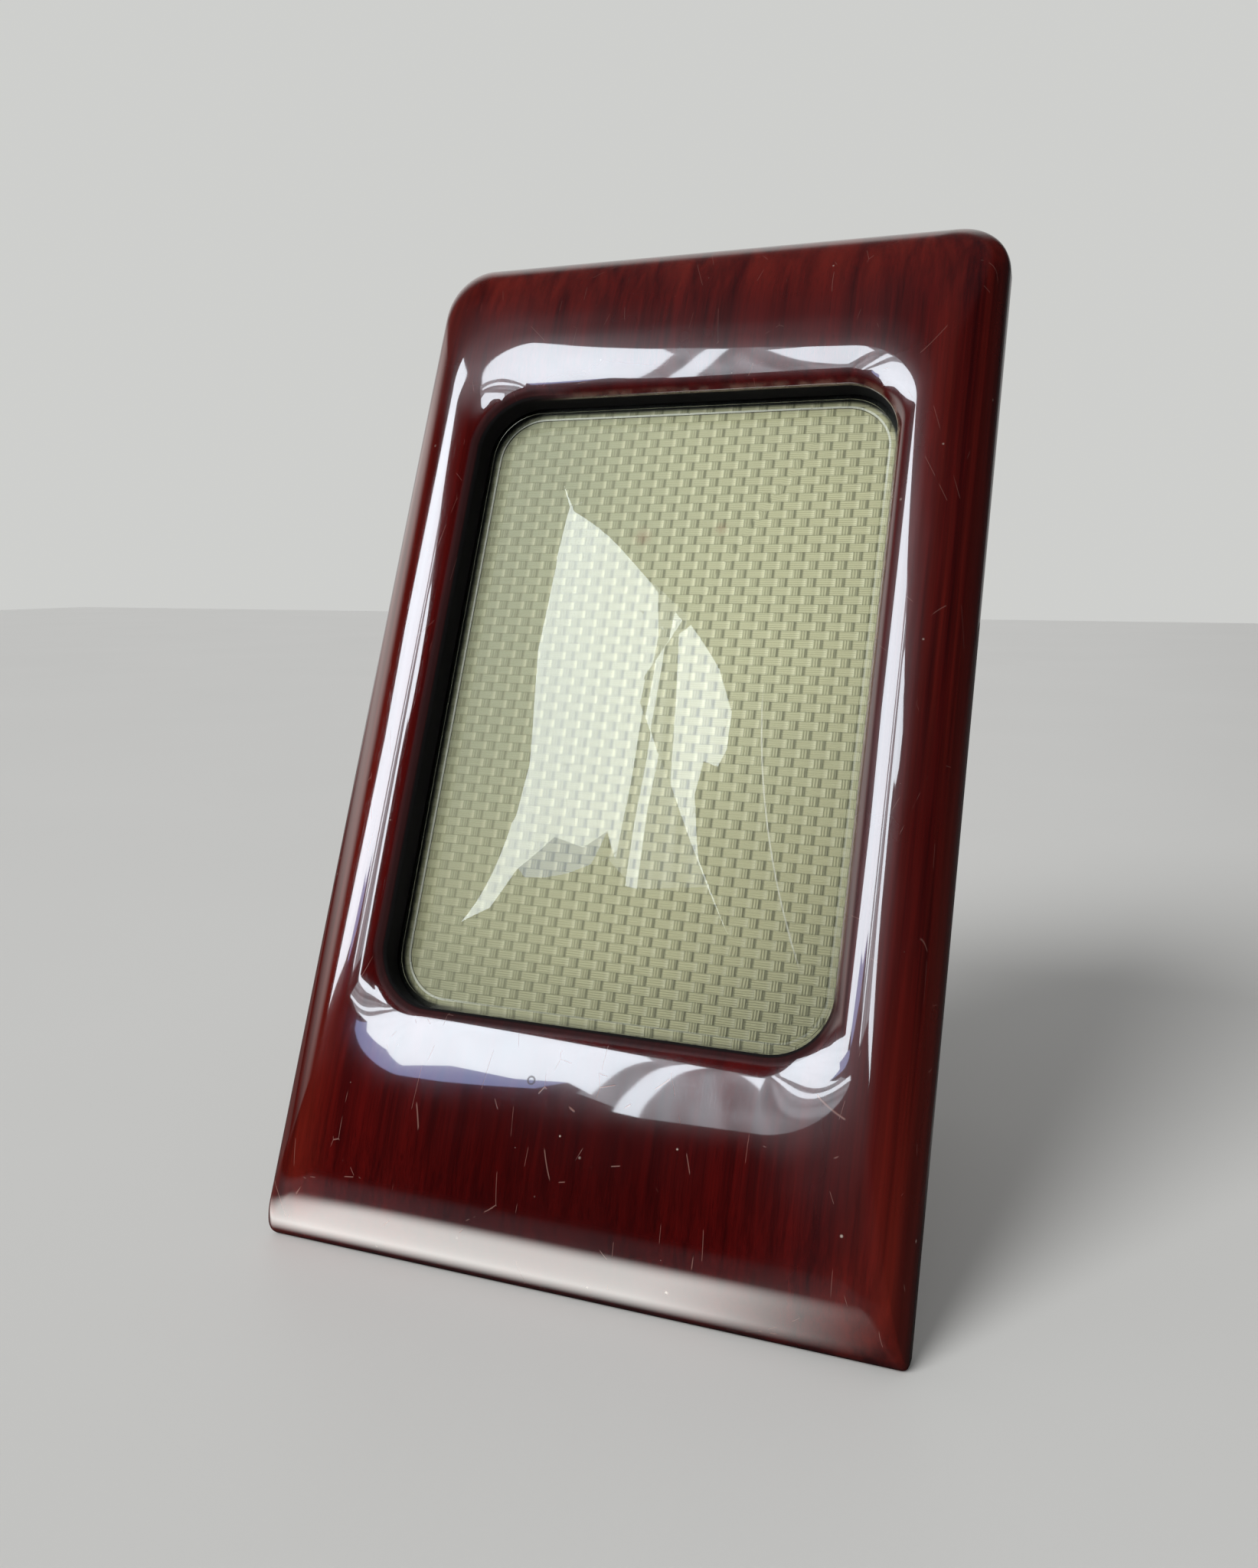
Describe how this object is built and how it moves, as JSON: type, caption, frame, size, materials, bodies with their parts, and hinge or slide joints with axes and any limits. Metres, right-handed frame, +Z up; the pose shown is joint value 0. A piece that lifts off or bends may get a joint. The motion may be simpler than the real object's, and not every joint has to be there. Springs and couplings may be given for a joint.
{
  "type": "photo frame",
  "caption": "Upright desk photo frame in moulded dark red lacquered wood with a domed glass, embossed lining, back panel held by turn buttons, and a hinged folding leg.",
  "frame": {"origin": "middle of the board's flat base, on the surface that the frame stands on", "axes": "+Z up, the picture faces -Y and leans back towards +Y, +X to the right when the picture is faced"},
  "size_m": [0.116, 0.1092, 0.183],
  "materials": {
    "lacquered_mahogany": "dark red gloss lacquer",
    "clear_glass": "clear, polished",
    "embossed_lining": "embossed basket weave, matt",
    "panel_wood": "thin satin stain",
    "leg_wood": "satin stain",
    "brass": "aged, rubbed",
    "brass_screws": "aged, rubbed"
  },
  "bodies": {
    "frame_body": {"wood_frame": "lacquered_mahogany", "domed_glass": "clear_glass", "lining_sheet": "embossed_lining", "back_panel": "panel_wood", "turn_button_screws": "brass_screws", "hinge_panel_leaf": "brass", "hinge_pin": "brass", "panel_leaf_screws": "brass_screws"},
    "leg": {"easel_strut": "leg_wood", "hinge_strut_leaf": "brass", "strut_leaf_screws": "brass_screws"},
    "button_upper_left": {"turn_button_upper_left": "brass"},
    "button_upper_right": {"turn_button_upper_right": "brass"},
    "button_lower_left": {"turn_button_lower_left": "brass"},
    "button_lower_right": {"turn_button_lower_right": "brass"}
  },
  "joints": [
    {"name": "leg_fold", "type": "hinge", "parent": "frame_body", "child": "leg", "pos_m": [0, 0.05963, 0.12554], "axis": [-1, 0, 0], "range_deg": [0, 40]},
    {"name": "button_lower_left_turn", "type": "hinge", "parent": "frame_body", "child": "button_lower_left", "pos_m": [-0.0517, 0.03108, 0.06366], "axis": [0, -0.915, 0.4035], "continuous": true},
    {"name": "button_upper_left_turn", "type": "hinge", "parent": "frame_body", "child": "button_upper_left", "pos_m": [-0.0517, 0.0578, 0.12423], "axis": [0, -0.915, 0.4035], "continuous": true},
    {"name": "button_lower_right_turn", "type": "hinge", "parent": "frame_body", "child": "button_lower_right", "pos_m": [0.0517, 0.03108, 0.06366], "axis": [0, -0.915, 0.4035], "continuous": true},
    {"name": "button_upper_right_turn", "type": "hinge", "parent": "frame_body", "child": "button_upper_right", "pos_m": [0.0517, 0.0578, 0.12423], "axis": [0, -0.915, 0.4035], "continuous": true}
  ]
}
